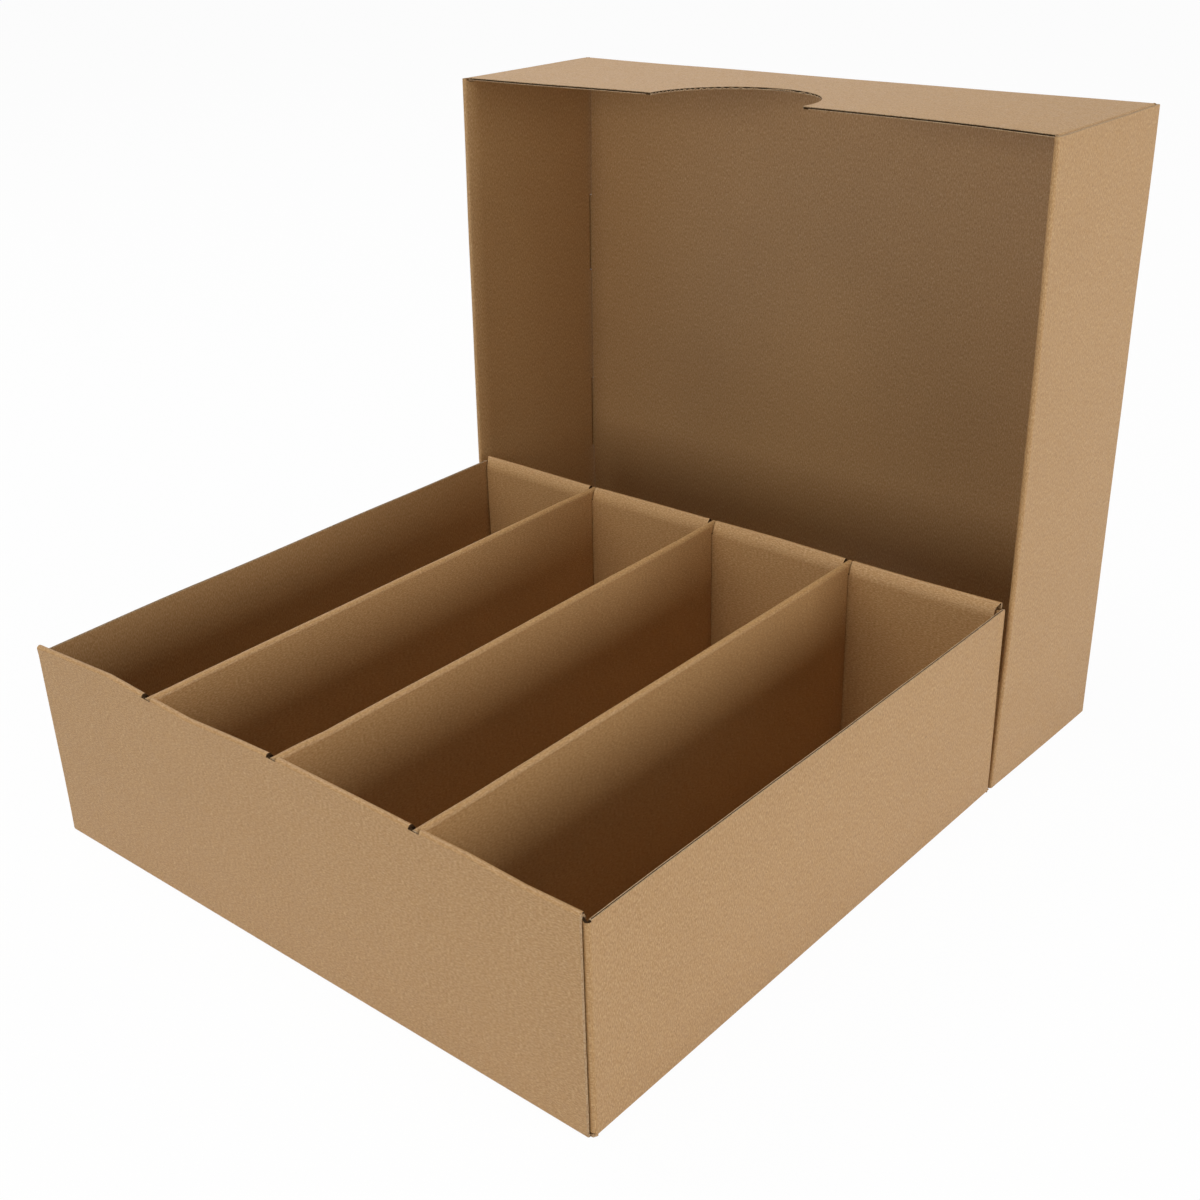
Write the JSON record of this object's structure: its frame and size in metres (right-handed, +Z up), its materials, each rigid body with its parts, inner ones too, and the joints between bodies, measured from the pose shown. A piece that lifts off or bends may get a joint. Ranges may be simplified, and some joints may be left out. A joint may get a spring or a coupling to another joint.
{
  "type": "divided cardboard box",
  "caption": "Open cardboard storage box split into long rows by folded dividers, with its deep lift-off lid, cut out for the thumbs, standing on edge behind it.",
  "frame": {"origin": "on the floor, under the middle of the tray and the standing lid together", "axes": "+Z up; +Y along the rows, from the tray's front towards the lid; +X to the right as seen from the tray's front"},
  "size_m": [0.321, 0.3826, 0.296],
  "materials": {
    "kraft_board": "uncoated brown kraft liner, matt"
  },
  "bodies": {
    "root": {"tray": "kraft_board", "lid": "kraft_board", "divider_left": "kraft_board", "divider_centre": "kraft_board", "divider_right": "kraft_board"}
  },
  "joints": []
}
